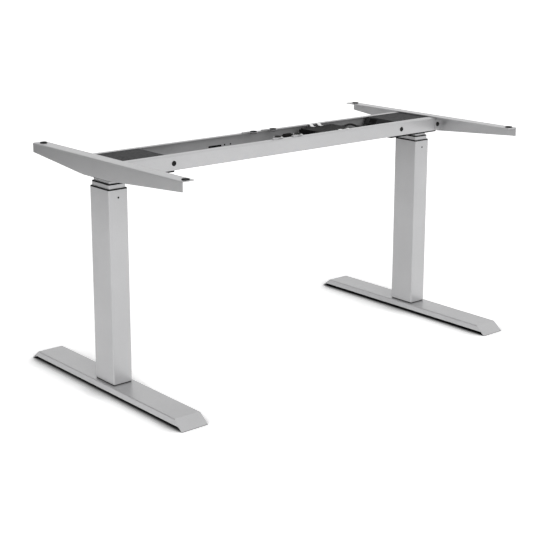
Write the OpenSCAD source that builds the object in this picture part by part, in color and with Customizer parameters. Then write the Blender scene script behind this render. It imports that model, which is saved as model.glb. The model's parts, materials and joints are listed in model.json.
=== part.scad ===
// Height adjustable desk frame. Two three-stage lifting columns stand on long feet and
// carry a telescopic channel rail, with a side bracket at each end for the desktop.
// X runs along the rail, Y from front to rear and Z up. The origin is on the floor,
// midway between the columns. The frame is drawn at its lowest and narrowest.

/* [Frame] */
// Distance between the two column centres
column_spacing = 1110; // [1060:1:1160]
// Gap between a shaft and its bore
fit_gap = 0.05; // [0.03:0.01:0.08]

/* [Feet] */
// Length of a foot, from front to rear
foot_l = 700; // [640:1:760]
// Width of a foot
foot_w = 78; // [74:0.5:84]
// Height of a foot's top face above the floor
foot_h = 25.5; // [24:0.5:28]
// Sheet thickness of a foot
foot_t = 2.5; // [2:0.1:3]
// Outer radius of the long bends of a foot
foot_bend_r = 3; // [2.6:0.1:4]
// Length of the sloping stretch at each end of a foot
foot_run = 31.5; // [28:0.5:38]
// Height of the end flaps' lower edges above the floor
foot_rise = 1; // [0.5:0.1:3]
// Height of the side flanges' lower edges above the floor
foot_side_gap = 5; // [4:0.1:8]
// Distance from the end of a foot to the axis of its levelling glide
glide_inset = 55; // [50:1:80]
// Radius of a glide's pad
glide_r = 16; // [12:0.5:20]
// Height of a glide's pad
glide_pad_h = 5; // [4:0.1:5.5]
// Radius of a glide's stud
glide_stud_r = 4; // [3:0.1:5]
// Height of the nut that holds a glide
glide_nut_h = 10; // [8:0.5:12]

/* [Columns] */
// Outer tube's size along the rail
tube_w = 57; // [54:0.5:60]
// Outer tube's size across the rail
tube_d = 86.4; // [82:0.2:92]
// Wall of the column tubes
tube_t = 2; // [1.6:0.1:2.2]
// Outer corner radius of the outer tube
tube_r = 3.5; // [3.1:0.1:4]
// Gap between two nested tubes
stage_gap = 1.5; // [1.3:0.1:1.8]
// Gap between a guide sleeve and the tube that slides in it
guide_gap = 0.3; // [0.25:0.05:0.4]
// Length of the outer tube
outer_tube_l = 503.5; // [496:0.5:520]
// Thickness of the base plate under a column
base_t = 3; // [2.5:0.1:4]
// How far the base plate's edge stands back from the tube's face
base_inset = 1.5; // [1:0.1:1.8]
// Height of the trim collar on top of the outer tube
collar_h = 7.8; // [6:0.1:10]
// Height of a guide's dark rim
rim_h = 3; // [2:0.1:4]
// Length of a guide sleeve below its rim
guide_l = 60; // [40:1:80]
// Bare height of the middle tube when the column is down
middle_show = 10; // [8:0.1:14]
// Bare height of the inner tube when the column is down
inner_show = 12.2; // [10:0.1:16]
// Radius of the set screw head near the top of the outer tube
set_screw_head_r = 2.5; // [2:0.1:3]
// Distance of the set screw below the outer tube's top
set_screw_drop = 12; // [8:0.5:20]

/* [Lifting drive] */
// Radius of the upper spindle
upper_spindle_r = 5; // [4:0.1:5.2]
// Radius of the hollow lower spindle
lower_spindle_r = 8; // [7.6:0.1:8.4]
// Bore radius of the hollow lower spindle
lower_spindle_bore_r = 5.5; // [5.4:0.1:6]
// Radius of the base post
base_post_r = 12; // [11.5:0.1:12.4]
// Bore radius of the base post
base_post_bore_r = 9; // [8.8:0.1:9.5]
// Radius of the middle post
middle_post_r = 16; // [15:0.1:17]
// Bore radius of the middle post
middle_post_bore_r = 13; // [12.8:0.1:13.5]
// Height of the nut in the top of the base post
base_nut_h = 20; // [15:0.5:25]
// Height of the nut in the top of the middle post
middle_nut_h = 10; // [8:0.5:14]
// Depth of the bearing under the middle nut
bearing_h = 15; // [10:0.5:18]

/* [Heads] */
// Reach of the head plate beyond the column axis
head_out = 36.5; // [34:0.1:37.5]
// Reach of the head plate towards the middle of the rail
head_in = 159; // [150:0.5:168]
// How far the head plate's edge lies inside the rail's side
head_inset = 16; // [15:0.5:20]
// Depth of the head plate's folded rim
head_depth = 9.4; // [8:0.1:11]
// Sheet thickness of the head plate
head_t = 3; // [2:0.1:3.5]
// Gap between the head cover and the rail's lips
cover_side_gap = 0.7; // [0.5:0.1:5]
// Reach of the cover's flat top towards the middle of the rail
cover_top_in = 134; // [128:0.5:140]
// Wall of the head cover
cover_t = 2; // [1.5:0.1:2.2]
// Length of the gearbox along the rail
gearbox_l = 50; // [44:0.5:54]
// Width of the gearbox
gearbox_w = 60; // [50:0.5:80]
// Height of the gearbox
gearbox_h = 31; // [30:0.1:32.5]
// Radius of the motor
motor_r = 14.5; // [12:0.1:15]
// Length of the motor
motor_l = 88; // [70:0.5:92]

/* [Rail] */
// Width of the centre rail
rail_w = 160; // [154:0.5:166]
// Height of the centre rail
rail_h = 40.2; // [38:0.1:44]
// Sheet thickness of the rails
rail_t = 2; // [1.6:0.1:2.2]
// Outer bend radius at the top of the centre rail
rail_bend_r = 4.5; // [4:0.1:5]
// Width of the centre rail's inward lips
rail_lip_w = 18; // [15:0.2:18.2]
// Side gap between the centre rail and the end rails
rail_side_gap = 0.6; // [0.4:0.05:0.8]
// Height gap between the centre rail and the end rails
rail_height_gap = 0.4; // [0.3:0.05:0.5]
// Length of an end rail
end_rail_l = 376.7; // [350:0.5:400]
// Place of the left clamp bolts, from the middle of the rail
left_clamp_x = 408; // [398:0.5:420]
// Place of the right clamp bolts, from the middle of the rail
right_clamp_x = 424; // [400:0.5:440]
// Height of the bolts above the rail's underside
bolt_rise = 19; // [16:0.1:21]
// Shank radius of the rail bolts
bolt_r = 4; // [3:0.1:4.5]
// Head radius of the rail bolts
bolt_head_r = 7; // [6:0.1:8]
// Head height of the rail bolts
bolt_head_h = 4; // [3:0.1:5]

/* [Side brackets] */
// Distance from the column axis to the bracket's outer face
bracket_out = 41.2; // [40.6:0.1:46]
// Reach of a bracket in front of the column axis
bracket_front = 368; // [340:1:400]
// Reach of a bracket behind the column axis
bracket_rear = 297; // [270:1:340]
// Sheet thickness of a bracket
bracket_t = 2.5; // [2:0.1:3]
// Outer bend radius of a bracket
bracket_bend_r = 3; // [2.6:0.1:4]
// Width of the top flange
flange_w = 36; // [33:0.5:40]
// Depth of the web at the rail
web_depth = 47.7; // [46:0.1:52]
// Depth of the web at the bracket's ends
web_end_depth = 25.5; // [20:0.5:30]
// Half length of the parallel middle stretch of a bracket
bracket_flat = 64; // [60:0.5:72]
// Gap between the bracket's flange and the rail under it
bracket_gap = 0.5; // [0.3:0.05:0.8]
// Width of the bolting tabs
tab_w = 24.2; // [22:0.1:28]
// Height of the bolting tabs
tab_h = 36; // [32:0.5:37]
// Distance from the bracket's outer face to the bolt's axis
tab_bolt_in = 18; // [16.5:0.1:19]
// Radius of the desktop pads
pad_r = 9.7; // [8:0.1:10.2]
// Height of the desktop pads
pad_h = 2.5; // [2:0.1:4]
// Radius of the screw holes in the pads and flanges
pad_hole_r = 3.25; // [2.5:0.05:3.6]
// Distance from the bracket's front end to its front pad
pad_front_inset = 12; // [11:0.5:20]
// Distance from the bracket's rear end to its rear pad
pad_rear_inset = 24; // [14:0.5:30]
// Distance from the bracket's outer face to the pads
pad_in = 18.7; // [15:0.1:20]

/* [Centre of the rail] */
// Half distance between the centre grommets along the rail
grommet_x = 36; // [32:0.5:44]
// Distance from the rail's side to the axis of a centre grommet
grommet_inset = 28; // [26:0.5:32]
// Radius of a grommet's discs
grommet_r = 9.5; // [8:0.1:9.6]
// Radius of the ear around a grommet
ear_r = 12; // [11:0.1:13]
// Left end of the control box, from the middle of the rail
box_x = 137; // [132:0.5:143]
// Length of the control box
box_l = 132; // [110:0.5:133]
// Gap between the control box and the rail's lips
box_side_gap = 6; // [5:0.5:12]
// Height of the control box
box_h = 22.8; // [20:0.2:23]
// Height of the control box's lid
lid_h = 7; // [5:0.1:7]
// Width of a clip that holds the control box
clip_w = 12; // [8:0.5:14]
// Thickness of a clip
clip_t = 1.2; // [1:0.1:1.6]
// Radius of the motor leads
lead_r = 3.2; // [2:0.1:3.3]

/* [Hidden] */
$fn = 48;
// Overrun of the cuts
over = 1;
axis_x = column_spacing / 2;
// The frame's front and rear ends lie equally far from the origin
frame_y = 0.5 * (bracket_front - 0.5 * foot_l);

// Heights up the column
base_top = foot_h + base_t;
outer_top = base_top + outer_tube_l;
collar_top = outer_top + collar_h;
outer_rim_top = collar_top + rim_h;
middle_top = outer_rim_top + middle_show;
middle_rim_top = middle_top + rim_h;
head_bottom = middle_rim_top + inner_show;
head_top = head_bottom + head_depth;
middle_lift = 11.5;
middle_bottom = base_top + middle_lift;
middle_plate_t = 4;
inner_lift = 8;
inner_bottom = middle_bottom + middle_plate_t + inner_lift;

// Sizes of the nested tubes
step = 2 * (tube_t + stage_gap);
middle_w = tube_w - step;
middle_d = tube_d - step;
inner_w = middle_w - step;
inner_d = middle_d - step;
middle_r = tube_r - 0.5 * (tube_t - stage_gap);
inner_r = middle_r - 0.5 * (tube_t - stage_gap);
rim_inset = 0.3;
sleeve_slack = 0.1;

// Heights and widths of the rails
rail_bottom = head_top - rail_height_gap - rail_t;
rail_top = rail_bottom + rail_h;
end_rail_w = rail_w - 2 * rail_t - 2 * rail_side_gap;
end_rail_top = rail_top - rail_bend_r - rail_height_gap;
end_floor_top = head_top + rail_t;
rail_corner_r = 3.5;
end_rail_corner_r = rail_corner_r - rail_side_gap;
lip_y = 0.5 * rail_w - rail_lip_w;
bracket_in = bracket_out - bracket_t;
rail_end_gap = 0.7;
rail_half_l = axis_x + bracket_in - rail_end_gap;
bolt_z = rail_bottom + bolt_rise;
notch_half_h = bolt_r + rail_end_gap + fit_gap;
floor_cut_gap = 8;
head_w = rail_w - 2 * head_inset;
floor_cut_half_w = 0.5 * head_w + rail_t;
flange_bottom = rail_top + bracket_gap;
flange_top = flange_bottom + bracket_t;
tab_gap = bracket_gap;
tab_face = 0.5 * rail_w + tab_gap;
tab_corner_r = 6;

// Slope of a foot's end flaps
foot_drop = foot_h - foot_rise;
flap_shift = foot_t * sqrt(foot_run * foot_run + foot_drop * foot_drop) / foot_drop;

// Glides and their nuts
glide_y = 0.5 * foot_l - glide_inset;
glide_top_gap = 0.5;
glide_stud_l = foot_h - foot_t - glide_top_gap - glide_pad_h;
glide_neck_r = 9;
glide_neck_h = 2;
glide_edge_r = 1.2;
glide_nut_r = 7.5;

// Screws that hold a column on its foot
base_screw_r = 4;
base_screw_head_r = 6.5;
base_screw_head_h = 4;
base_screw_x_share = 0.3;
base_screw_x = base_screw_x_share * tube_w;
base_screw_y_share = 0.36;
base_screw_y = base_screw_y_share * tube_d;

// Set screw of the guide
set_screw_r = 1.5;
set_screw_head_h = 0.6;
set_screw_l = tube_t + 0.5 * stage_gap;

// Posts and spindles
post_foot_r = 20;
post_foot_h = 4;
spindle_base_gap = 33.5;
spindle_stagger = 8;
lower_spindle_bottom = base_top + spindle_base_gap;
base_post_drop = 53;
base_post_top = middle_top - base_post_drop;
cap_gap = 5;
cap_bottom = base_post_top + cap_gap;
nut_bottom = cap_bottom + bearing_h;
middle_post_top = nut_bottom + middle_nut_h;
spindle_end_gap = 0.2;
lower_spindle_top = nut_bottom - spindle_end_gap;
upper_spindle_bottom = lower_spindle_bottom + spindle_stagger;
gearbox_reach_share = 0.7;
upper_spindle_top = end_floor_top + gearbox_reach_share * gearbox_h;
thrust_collar_r = 9;
thrust_collar_h = 4;
thrust_collar_gap = 0.4;
head_hole_gap = 3;
head_hole_r = upper_spindle_r + head_hole_gap;

// Head cover
cover_gap = 1.1;
cover_top = flange_bottom - cover_gap;
cover_out = head_out - cover_t;
cover_w = 2 * (lip_y - cover_side_gap);
cover_slope = (head_in - cover_top_in) / (cover_top - end_floor_top);
cover_skew = sqrt(1 + cover_slope * cover_slope);
socket_inset = 30.8;
socket_y = 0.5 * cover_w - socket_inset;
socket_w = 29;
socket_top_gap = 3.6;
socket_high = cover_top - socket_top_gap;
socket_bottom_gap = 4;
socket_low = end_floor_top + socket_bottom_gap;
socket_back = 12;
socket_wall = 2;
gearbox_r = 4;
gearbox_top_r = 13;
gearbox_top_h = 1.2;
motor_cap_r = 10;
motor_cap_l = 5;
motor_band_l = 4;
motor_band_h = 0.4;

// Rail details
wall_slot_x = -153;
wall_slot_l = 46;
wall_slot_h = 5.5;
wall_slot_rise = 12;
wall_slot_z = rail_bottom + wall_slot_rise;
wall_hole_x = -108.5;
wall_hole_step = 21;
wall_hole_r = 2.5;
wall_hole_rise = 13;
wall_hole_z = rail_bottom + wall_hole_rise;
ear_rise = 1;
ear_t = flange_top - rail_top - ear_rise;
ear_root_l = 17;
ear_reach = 13;
ear_root_x = grommet_x + ear_reach;
ear_root_d = 7;
ear_side_share = 0.85;
ear_low_share = 0.4;
grommet_y = 0.5 * rail_w - grommet_inset;
grommet_neck_r = 7;
grommet_hole_r = 3.25;
grommet_low_h = 2.5;
grommet_edge_r = 0.8;

// Control box, straps and lead
box_gap = 0.3;
box_floor = end_floor_top + box_gap;
box_w = 2 * (lip_y - box_side_gap);
runner_w = 8;
runner_l = 60;
runner_inset = 6;
box_r = 4;
lid_inset = 3;
lid_top_r = 6;
lid_step_share = 0.6;
lid_step_h = lid_step_share * lid_h;
port_w = 14;
port_h = 8;
port_d = 6;
port_rise = 7;
port_step = 20;
port_count = 3;
port_inset = 18;
clip_step = 30;
clip_foot = 10;
clip_tongue = 8;
clip_bend_share = 1.5;
nut_h = 6.5;
nut_r = 7.5;
nut_sides = 6;

// Plug and socket of a motor lead
plug_out = 14;
plug_in = 6;
plug_w = 18;
plug_h = 11;
plug_rise = 16;
plug_z = end_floor_top + plug_rise;
lead_sides = 10;
gland_r = 5;
gland_l = 4;
gland_rise = 12.3;
gland_y = 20;
plug_x = axis_x + cover_x(plug_z, 0) - plug_out;

// Routes of the motor leads, folded to and fro so that the rail can be drawn out
right_lead = [
    [box_x + box_l + gland_l, -gland_y, box_floor + gland_rise], [281, -20, 592],
    [291, -25, 588], [300, -36, 583], [312, -43, 582.9], [340, -45, 582.9],
    [362, -45, 582.9], [374, -42, 582.9], [380, -34, 582.9], [374, -26, 582.9],
    [362, -23, 582.9], [340, -22, 582.9], [310, -21, 582.9], [298, -18, 582.9],
    [292, -10, 582.9], [298, -2, 582.9], [310, 1, 582.9], [340, 2, 582.9], [362, 3, 582.9],
    [373, 6, 582.9], [378, 14, 582.9], [372, 22, 582.9], [360, 25, 582.9],
    [330, 25, 582.9], [300, 26, 583], [286, 29, 587], [280, 37, 592], [286, 45, 596],
    [298, 48, 598], [312, 50, 598], [324, 50, 600], [335, 50, 601.5], [346, 48, 600],
    [357, 44, 595.5], [367, 38, 592.5], [377, 32.5, 593.5], [385, 30.5, 595.4],
    [plug_x, socket_y, plug_z]
];
left_lead = [
    [box_x - gland_l, gland_y, box_floor + gland_rise], [126, 20, 592], [112, 20, 597],
    [98, 20, 600], [84, 20, 600.5], [38, 20, 600.5], [26, 19, 598], [14, 14, 592],
    [4, 4, 585.5], [-8, -9, 581.2], [-26, -23, 580.5], [-56, -33, 580.5], [-110, -38, 580.5],
    [-185, -41, 580.5], [-206, -42, 582.9], [-230, -43, 582.9], [-290, -44, 582.9],
    [-352, -44, 582.9], [-366, -42, 582.9], [-375, -34, 582.9], [-375, -24, 582.9],
    [-366, -16, 582.9], [-352, -14, 582.9], [-310, -14, 582.9], [-262, -14, 582.9],
    [-248, -11, 582.9], [-240, -3, 582.9], [-240, 7, 582.9], [-248, 15, 582.9],
    [-262, 18, 582.9], [-310, 18, 582.9], [-340, 16, 583], [-356, 10, 584.5],
    [-366, 0, 588.5], [-373, -13, 592.5], [-379, -25, 595], [-386, -30.5, 595.4],
    [-plug_x, -socket_y, plug_z]
];
coupling_at = left_lead[5];
coupling_x = 44;
coupling_l = 34;
coupling_r = 7.5;
coupling_edge = 2;

module round_rect(w, d, r) {
    square([w - 2 * r, d], center = true);
    square([w, d - 2 * r], center = true);
    for (sx = [-1, 1], sy = [-1, 1])
        translate([sx * (0.5 * w - r), sy * (0.5 * d - r)]) circle(r);
}

module ring_rect(w, d, r, inner_w, inner_d, inner_r) {
    difference() {
        round_rect(w, d, r);
        round_rect(inner_w, inner_d, inner_r);
    }
}

// Prism of a Y-Z outline, centred on X
module across_x(w) {
    translate([-0.5 * w, 0, 0]) rotate([90, 0, 90]) linear_extrude(w) children();
}

// Prism of an X-Z outline, centred on Y
module along_y(l) {
    translate([0, 0.5 * l, 0]) rotate([90, 0, 0]) linear_extrude(l) children();
}

// Drawn for the right leg about its column axis, and mirrored for the left leg
module on_side(s) {
    mirror([s < 0 ? 1 : 0, 0, 0]) translate([axis_x, frame_y, 0]) children();
}

module midway() {
    translate([0, frame_y, 0]) children();
}

// Half profile of a round disc with rolled top and bottom edges
module disc_profile(r, h, edge) {
    square([r - edge, h]);
    translate([0, edge]) square([r, h - 2 * edge]);
    for (z = [edge, h - edge]) translate([r - edge, z]) circle(edge, $fn = 24);
}

module disc(r, h, edge) {
    rotate_extrude() disc_profile(r, h, edge);
}

// Foot: a folded channel, closed at each end by a sloping flap
function flap_y(z, inset) = 0.5 * foot_l - (z - foot_rise) * foot_run / foot_drop - inset;

module foot_section() {
    translate([-0.5 * foot_w, foot_rise]) square([foot_w, foot_drop - foot_bend_r]);
    translate([-0.5 * foot_w + foot_bend_r, foot_rise])
        square([foot_w - 2 * foot_bend_r, foot_drop]);
    for (s = [-1, 1])
        translate([s * (0.5 * foot_w - foot_bend_r), foot_h - foot_bend_r]) circle(foot_bend_r);
}

module foot_outline(bottom, top, inset) {
    polygon([
        [-flap_y(bottom, inset), bottom], [-flap_y(top, inset), top],
        [flap_y(top, inset), top], [flap_y(bottom, inset), bottom]
    ]);
}

module foot_hollow() {
    intersection() {
        translate([-0.5 * foot_w + foot_t, -0.5 * foot_l, foot_rise - over])
            cube([foot_w - 2 * foot_t, foot_l, foot_drop - foot_t + over]);
        across_x(foot_w) foot_outline(foot_rise - over, foot_h - foot_t, flap_shift);
    }
}

// Welded nut that holds a glide
module glide_nut() {
    translate([0, 0, foot_h - foot_t - glide_nut_h]) difference() {
        cylinder(h = glide_nut_h, r = glide_nut_r, $fn = nut_sides);
        translate([0, 0, -over])
            cylinder(h = glide_nut_h + over, r = glide_stud_r + fit_gap);
    }
}

module foot() {
    color([0.74, 0.74, 0.75]) {
        for (s = [-1, 1]) translate([0, s * glide_y, 0]) glide_nut();
        foot_shell();
    }
}

module foot_shell() {
    difference() {
        intersection() {
            along_y(foot_l) foot_section();
            across_x(foot_w + 2 * over) foot_outline(foot_rise, foot_h, 0);
        }
        foot_hollow();
        across_x(foot_w + 2 * over)
            foot_outline(foot_rise - over, foot_side_gap, flap_shift);
        base_screw_places() translate([0, 0, foot_h - foot_t - over])
            cylinder(h = foot_t + 2 * over, r = base_screw_r + fit_gap);
    }
}

module glide(s) {
    color([0.10, 0.10, 0.11]) translate([0, s * glide_y, 0]) {
        disc(glide_r, glide_pad_h, glide_edge_r);
        translate([0, 0, glide_pad_h]) cylinder(h = glide_neck_h, r = glide_neck_r, $fn = nut_sides);
        translate([0, 0, glide_pad_h + glide_neck_h])
            cylinder(h = glide_stud_l - glide_neck_h, r = glide_stud_r);
    }
}

// Column base
module base_screw_places() {
    for (sx = [-1, 1], sy = [-1, 1]) translate([sx * base_screw_x, sy * base_screw_y, 0])
        children();
}

module base_plate() {
    color([0.12, 0.12, 0.13]) translate([0, 0, foot_h]) difference() {
        linear_extrude(base_t)
            round_rect(tube_w - 2 * base_inset, tube_d - 2 * base_inset, tube_r - base_inset);
        base_screw_places() translate([0, 0, -over])
            cylinder(h = base_t + 2 * over, r = base_screw_r + fit_gap);
    }
}

module base_screws() {
    color([0.15, 0.15, 0.16]) base_screw_places() {
        translate([0, 0, foot_h - foot_t - base_screw_head_h])
            cylinder(h = base_screw_head_h, r = base_screw_head_r);
        translate([0, 0, foot_h - foot_t]) cylinder(h = foot_t + base_t, r = base_screw_r);
    }
}

// Column tubes
module tube_section(w, d, r) {
    ring_rect(w, d, r, w - 2 * tube_t, d - 2 * tube_t, r - tube_t);
}

module set_screw_hole(r) {
    translate([0, -0.5 * tube_d - over, outer_top - set_screw_drop]) rotate([-90, 0, 0])
        cylinder(h = tube_t + stage_gap + 2 * over, r = r);
}

module outer_tube() {
    color([0.74, 0.74, 0.75]) difference() {
        translate([0, 0, base_top]) linear_extrude(outer_tube_l)
            tube_section(tube_w, tube_d, tube_r);
        set_screw_hole(set_screw_r + fit_gap);
    }
}

module outer_collar() {
    color([0.72, 0.72, 0.73]) translate([0, 0, outer_top]) linear_extrude(collar_h)
        tube_section(tube_w, tube_d, tube_r);
}

// Plastic guide: a rim on top of a tube and a sleeve between it and the next tube
module guide(w, d, r, rim_z, sleeve_l) {
    slide_w = w - step + 2 * guide_gap;
    slide_d = d - step + 2 * guide_gap;
    slide_r = r - 0.5 * (tube_t - stage_gap);
    sleeve_w = w - 2 * tube_t - 2 * sleeve_slack;
    sleeve_d = d - 2 * tube_t - 2 * sleeve_slack;
    translate([0, 0, rim_z]) linear_extrude(rim_h)
        ring_rect(w - 2 * rim_inset, d - 2 * rim_inset, r - rim_inset,
                  slide_w, slide_d, slide_r);
    translate([0, 0, rim_z - sleeve_l]) linear_extrude(sleeve_l)
        ring_rect(sleeve_w, sleeve_d, r - tube_t - sleeve_slack, slide_w, slide_d, slide_r);
}

module outer_guide() {
    color([0.08, 0.08, 0.09]) difference() {
        guide(tube_w, tube_d, tube_r, collar_top, guide_l + collar_h);
        set_screw_hole(set_screw_r + fit_gap);
    }
}

module set_screw() {
    color([0.12, 0.12, 0.13]) translate([0, -0.5 * tube_d, outer_top - set_screw_drop])
        rotate([-90, 0, 0]) {
            cylinder(h = set_screw_l, r = set_screw_r);
            translate([0, 0, -set_screw_head_h])
                cylinder(h = set_screw_head_h, r = set_screw_head_r);
        }
}

module middle_tube() {
    color([0.74, 0.74, 0.75]) translate([0, 0, middle_bottom])
        linear_extrude(middle_top - middle_bottom) tube_section(middle_w, middle_d, middle_r);
}

module middle_guide() {
    color([0.08, 0.08, 0.09]) guide(middle_w, middle_d, middle_r, middle_top, guide_l);
}

module inner_tube() {
    color([0.74, 0.74, 0.75]) translate([0, 0, inner_bottom])
        linear_extrude(head_top - head_t - inner_bottom)
        tube_section(inner_w, inner_d, inner_r);
}

// Lifting drive: spindles that turn together inside two nested posts
module base_post() {
    color([0.62, 0.62, 0.64]) difference() {
        union() {
            translate([0, 0, base_top]) cylinder(h = post_foot_h, r = post_foot_r);
            translate([0, 0, base_top]) cylinder(h = base_post_top - base_top, r = base_post_r);
        }
        translate([0, 0, base_top - over])
            cylinder(h = base_post_top - base_nut_h - base_top + over, r = base_post_bore_r);
        translate([0, 0, base_post_top - base_nut_h - over])
            cylinder(h = base_nut_h + 2 * over, r = lower_spindle_r + fit_gap);
    }
}

module middle_post() {
    color([0.55, 0.55, 0.57]) difference() {
        union() {
            translate([0, 0, middle_bottom]) linear_extrude(middle_plate_t)
                round_rect(middle_w - 2 * tube_t - 2 * fit_gap,
                           middle_d - 2 * tube_t - 2 * fit_gap, middle_r - tube_t);
            translate([0, 0, middle_bottom])
                cylinder(h = middle_post_top - middle_bottom, r = middle_post_r);
        }
        translate([0, 0, middle_bottom - over])
            cylinder(h = cap_bottom - middle_bottom + over, r = middle_post_bore_r);
        translate([0, 0, cap_bottom - over])
            cylinder(h = bearing_h + over, r = lower_spindle_r + fit_gap);
        translate([0, 0, nut_bottom - over])
            cylinder(h = middle_nut_h + 2 * over, r = upper_spindle_r + fit_gap);
    }
}

module lower_spindle() {
    color([0.7, 0.7, 0.72]) translate([0, 0, lower_spindle_bottom]) difference() {
        cylinder(h = lower_spindle_top - lower_spindle_bottom, r = lower_spindle_r);
        translate([0, 0, -over])
            cylinder(h = lower_spindle_top - lower_spindle_bottom + 2 * over,
                     r = lower_spindle_bore_r);
    }
}

module upper_spindle() {
    color([0.72, 0.72, 0.74]) {
        translate([0, 0, upper_spindle_bottom])
            cylinder(h = upper_spindle_top - upper_spindle_bottom, r = upper_spindle_r);
        translate([0, 0, head_top - head_t - thrust_collar_gap - thrust_collar_h])
            cylinder(h = thrust_collar_h, r = thrust_collar_r);
    }
}

// Head of the column, under and inside the rail
module head_plate() {
    color([0.13, 0.13, 0.14]) difference() {
        translate([-head_in, -0.5 * head_w, head_bottom])
            cube([head_in + head_out, head_w, head_depth]);
        translate([-head_in + head_t, -0.5 * head_w + head_t, head_bottom - over])
            cube([head_in + head_out - 2 * head_t, head_w - 2 * head_t,
                  head_depth - head_t + over]);
        translate([0, 0, head_bottom]) cylinder(h = head_depth + over, r = head_hole_r);
    }
}

module gearbox() {
    color([0.3, 0.3, 0.31]) translate([0, 0, end_floor_top]) difference() {
        union() {
            linear_extrude(gearbox_h) round_rect(gearbox_l, gearbox_w, gearbox_r);
            translate([0, 0, gearbox_h]) cylinder(h = gearbox_top_h, r = gearbox_top_r);
        }
        translate([0, 0, -over])
            cylinder(h = upper_spindle_top - end_floor_top + 2 * over,
                     r = upper_spindle_r + fit_gap);
    }
}

module motor() {
    color([0.2, 0.2, 0.21]) translate([-0.5 * gearbox_l, 0, end_floor_top + 0.5 * gearbox_h])
        rotate([0, -90, 0]) {
            cylinder(h = motor_l, r = motor_r);
            cylinder(h = motor_band_l, r = motor_r + motor_band_h);
            translate([0, 0, motor_l]) cylinder(h = motor_cap_l, r = motor_cap_r);
        }
}

// Sloping inner end of the head cover, as X at a height, shifted by an inset
function cover_x(z, inset) = -cover_top_in - (cover_top - z) * cover_slope + inset * cover_skew;

module cover_outline(bottom, top, inset) {
    polygon([
        [cover_x(bottom, inset), bottom], [cover_x(top, inset), top],
        [cover_out - inset, top], [cover_out - inset, bottom]
    ]);
}

module head_cover(s) {
    color([0.26, 0.26, 0.27]) difference() {
        along_y(cover_w) cover_outline(end_floor_top, cover_top, 0);
        along_y(cover_w - 2 * cover_t)
            cover_outline(end_floor_top - over, cover_top - cover_t, cover_t);
        translate([0, s * socket_y, 0]) along_y(socket_w)
            sloping_slab(socket_low, socket_high, -over, 2 * cover_t);
    }
}

// Slab along the cover's sloping end, between two heights and two insets
module sloping_slab(bottom, top, front, back) {
    polygon([
        [cover_x(bottom, front), bottom], [cover_x(top, front), top],
        [cover_x(top, back), top], [cover_x(bottom, back), bottom]
    ]);
}

// Socket: a block behind the cover's sloping end that fills the opening in it
module motor_socket(s) {
    top = socket_high - sleeve_slack;
    color([0.03, 0.03, 0.03]) translate([0, s * socket_y, 0]) difference() {
        union() {
            along_y(socket_w - 2 * sleeve_slack)
                sloping_slab(socket_low + sleeve_slack, top, 0.5 * cover_t, socket_back);
            along_y(socket_w + 2 * socket_wall)
                sloping_slab(end_floor_top, top, cover_t + sleeve_slack, socket_back);
        }
        translate([cover_x(plug_z, 0) - plug_out, -0.5 * plug_w - sleeve_slack,
                   plug_z - 0.5 * plug_h - sleeve_slack])
            cube([plug_out + plug_in + sleeve_slack, plug_w + 2 * sleeve_slack,
                  plug_h + 2 * sleeve_slack]);
    }
}

// Rails
module channel_outline(w, bottom, top, low_r, high_r) {
    half = 0.5 * w;
    translate([-half, bottom + low_r]) square([w, top - bottom - low_r - high_r]);
    translate([-half + low_r, bottom]) square([w - 2 * low_r, low_r + over]);
    translate([-half + high_r, top - high_r - over])
        square([w - 2 * high_r, high_r + over]);
    for (s = [-1, 1]) {
        translate([s * (half - low_r), bottom + low_r]) circle(low_r);
        translate([s * (half - high_r), top - high_r]) circle(high_r);
    }
}

module centre_section() {
    difference() {
        channel_outline(rail_w, rail_bottom, rail_top, rail_corner_r, rail_bend_r);
        channel_outline(rail_w - 2 * rail_t, rail_bottom + rail_t, rail_top - rail_t,
                        rail_corner_r - rail_t, rail_bend_r - rail_t);
        translate([-lip_y, rail_top - rail_t - over]) square([2 * lip_y, rail_t + 2 * over]);
    }
}

module end_section() {
    half = 0.5 * end_rail_w;
    difference() {
        channel_outline(end_rail_w, head_top, end_rail_top + rail_bend_r,
                        end_rail_corner_r, rail_bend_r);
        translate([-half - over, end_rail_top])
            square([end_rail_w + 2 * over, rail_bend_r + over]);
        channel_outline(end_rail_w - 2 * rail_t, end_floor_top,
                        end_rail_top + 2 * rail_bend_r, end_rail_corner_r - rail_t,
                        rail_bend_r);
    }
}

module wall_hole(x, z, r) {
    translate([x, 0.5 * rail_w + over, z]) rotate([90, 0, 0])
        cylinder(h = rail_t + rail_bend_r + over, r = r);
}

module wall_slot() {
    half_step = 0.5 * (wall_slot_l - wall_slot_h);
    for (s = [-1, 1]) wall_hole(wall_slot_x + s * half_step, wall_slot_z, 0.5 * wall_slot_h);
    translate([wall_slot_x - half_step, 0.5 * rail_w - rail_t - over,
               wall_slot_z - 0.5 * wall_slot_h])
        cube([2 * half_step, rail_t + 2 * over, wall_slot_h]);
}

// Cross hole through both walls of a rail
module cross_hole(x, r) {
    translate([x, -0.5 * rail_w - over, bolt_z]) rotate([-90, 0, 0])
        cylinder(h = rail_w + 2 * over, r = r);
}

module bolt_notch(s) {
    x = axis_x + bracket_out - tab_bolt_in;
    cross_hole(s * x, notch_half_h);
    mirror([s < 0 ? 1 : 0, 0, 0])
        translate([x, -0.5 * rail_w - over, bolt_z - notch_half_h])
            cube([rail_half_l - x + over, rail_w + 2 * over, 2 * notch_half_h]);
}

module floor_cut(s) {
    start = axis_x - head_in - floor_cut_gap;
    mirror([s < 0 ? 1 : 0, 0, 0])
        translate([start, -floor_cut_half_w, rail_bottom - over])
            cube([rail_half_l - start + over, 2 * floor_cut_half_w, rail_t + 2 * over]);
}

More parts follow.
